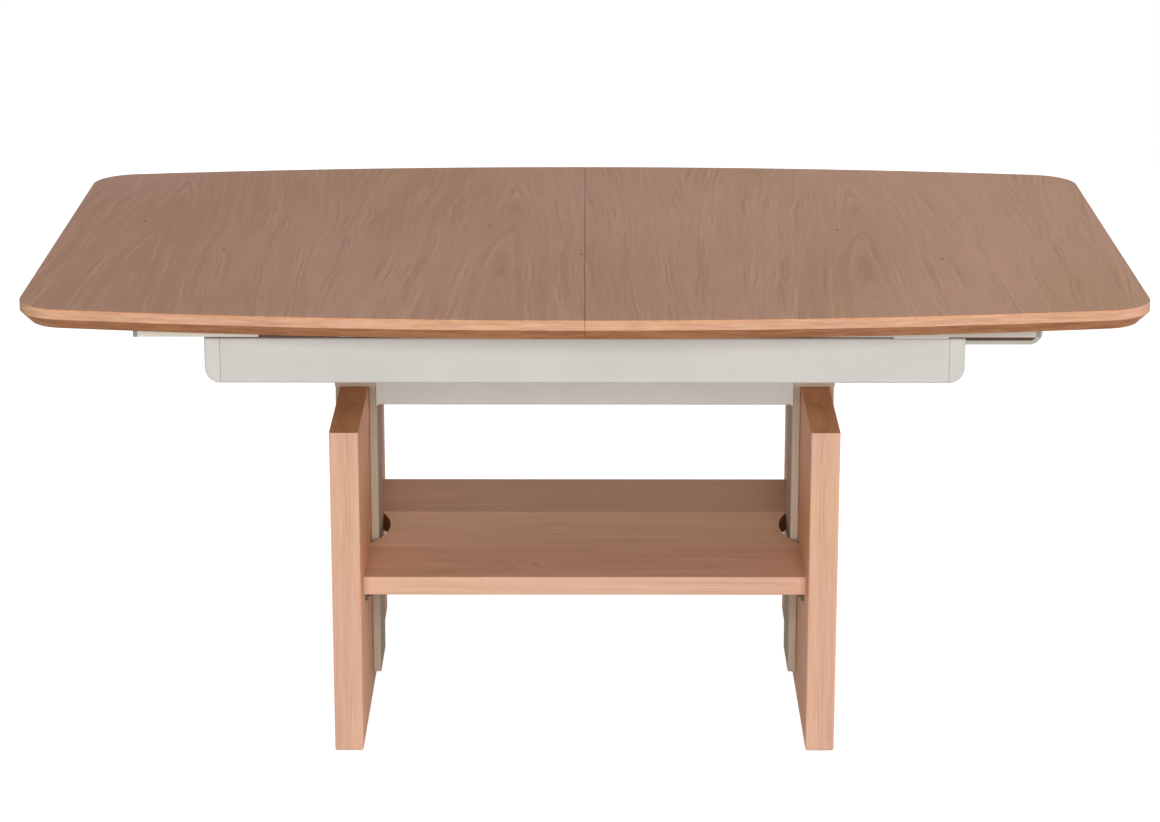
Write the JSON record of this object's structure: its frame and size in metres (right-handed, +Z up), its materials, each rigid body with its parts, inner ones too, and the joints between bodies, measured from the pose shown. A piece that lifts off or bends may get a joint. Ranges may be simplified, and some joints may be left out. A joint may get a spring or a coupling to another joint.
{
  "type": "convertible coffee dining table",
  "caption": "Boat-topped wooden table that lifts from coffee to dining height on slab legs and opens lengthwise, with a shelf and a leaf stored under the top.",
  "frame": {"origin": "on the floor, under the middle of the top, at the lowered height and with the top closed", "axes": "+X along the table towards the release lever's end, +Y away from the viewer, +Z up"},
  "size_m": [1.25, 0.796, 0.5574],
  "materials": {
    "top_veneer": "satin",
    "edge_wood": "satin",
    "leg_wood": "satin",
    "shelf_wood": "satin",
    "leaf_veneer": "satin",
    "frame_paint": "satin",
    "cap_plastic": "matte",
    "runner_aluminium": "satin",
    "guide_plastic": "matte",
    "gear_plastic": "matte",
    "cylinder_paint": "satin",
    "rod_chrome": "polished",
    "zinc_steel": "satin",
    "lever_steel": "satin",
    "foot_plastic": "matte",
    "runner_cap_plastic": "satin"
  },
  "bodies": {
    "base": {"left_leg": "leg_wood", "right_leg": "leg_wood", "shelf": "shelf_wood", "shelf_brackets": "zinc_steel", "shelf_screws": "zinc_steel", "foot_glides": "foot_plastic", "left_gas_cylinder": "cylinder_paint", "right_gas_cylinder": "cylinder_paint", "gas_anchor_pins": "zinc_steel", "left_guide_block": "guide_plastic", "right_guide_block": "guide_plastic"},
    "lift_frame": {"left_gas_rod": "rod_chrome", "right_gas_rod": "rod_chrome", "left_rod_plate": "zinc_steel", "right_rod_plate": "zinc_steel", "rod_nuts": "zinc_steel", "left_guide_shoe": "guide_plastic", "right_guide_shoe": "guide_plastic", "left_column_inner": "frame_paint", "right_column_inner": "frame_paint", "left_column_outer": "frame_paint", "right_column_outer": "frame_paint", "left_column_head": "frame_paint", "right_column_head": "frame_paint", "left_stretcher_bracket": "frame_paint", "right_stretcher_bracket": "frame_paint", "stretcher_plate": "frame_paint", "stretcher_bolts": "zinc_steel", "front_apron": "frame_paint", "back_apron": "frame_paint", "front_end_caps": "cap_plastic", "back_end_caps": "cap_plastic", "left_cross_rail": "frame_paint", "right_cross_rail": "frame_paint", "front_runner_glides": "guide_plastic", "back_runner_glides": "guide_plastic", "pinion_axle": "zinc_steel", "leaf_upper": "leaf_veneer", "leaf_lower": "leaf_veneer", "leaf_hinges": "zinc_steel", "leaf_rails": "frame_paint", "lever_bearings": "guide_plastic"},
    "left_top": {"left_top_panel": "top_veneer", "left_edge_lipping": "edge_wood", "left_front_runner": "runner_aluminium", "left_back_runner": "runner_aluminium", "left_runner_screws": "zinc_steel", "left_runner_caps": "runner_cap_plastic"},
    "right_top": {"right_top_panel": "top_veneer", "right_edge_lipping": "edge_wood", "right_front_runner": "runner_aluminium", "right_back_runner": "runner_aluminium", "right_runner_screws": "zinc_steel", "right_runner_caps": "runner_cap_plastic", "seam_pins": "zinc_steel"},
    "sync_pinion": {"sync_pinion": "gear_plastic"},
    "release_lever": {"release_lever": "lever_steel"},
    "release_bar": {"release_bar": "zinc_steel"},
    "left_valve_pin": {"left_valve_pin": "rod_chrome"},
    "right_valve_pin": {"right_valve_pin": "rod_chrome"}
  },
  "joints": [
    {"name": "lift", "type": "slide", "parent": "base", "child": "lift_frame", "axis": [0, 0, 1], "range_m": [0, 0.19]},
    {"name": "right_top_slide", "type": "slide", "parent": "lift_frame", "child": "right_top", "axis": [1, 0, 0], "range_m": [0, 0.225]},
    {"name": "left_top_slide", "type": "slide", "parent": "lift_frame", "child": "left_top", "axis": [-1, 0, 0], "range_m": [0, 0.225]},
    {"name": "pinion_spin", "type": "hinge", "parent": "lift_frame", "child": "sync_pinion", "pos_m": [0, 0.2977, 0.526], "axis": [0, 0, -1], "range_deg": [0, 960]},
    {"name": "lever_press", "type": "hinge", "parent": "lift_frame", "child": "release_lever", "pos_m": [0.35, -0.257, 0.4954], "axis": [0, 1, 0], "range_deg": [0, 6], "stiffness_Nm_per_rad": 2, "springref_deg": -8.59},
    {"name": "release_bar_slide", "type": "slide", "parent": "lift_frame", "child": "release_bar", "axis": [-1, 0, 0], "range_m": [0, 0.0078]},
    {"name": "left_valve_press", "type": "slide", "parent": "lift_frame", "child": "left_valve_pin", "axis": [0, 0, -1], "range_m": [0, 0.0031]},
    {"name": "right_valve_press", "type": "slide", "parent": "lift_frame", "child": "right_valve_pin", "axis": [0, 0, -1], "range_m": [0, 0.0031]}
  ],
  "couplings": [
    {"joint": "left_top_slide", "follows": "right_top_slide", "ratio": 1},
    {"joint": "pinion_spin", "follows": "right_top_slide", "rad_per_m": 74.074},
    {"joint": "release_bar_slide", "follows": "lever_press", "m_per_rad": 0.074},
    {"joint": "left_valve_press", "follows": "lever_press", "m_per_rad": 0.028648},
    {"joint": "right_valve_press", "follows": "lever_press", "m_per_rad": 0.028648}
  ]
}
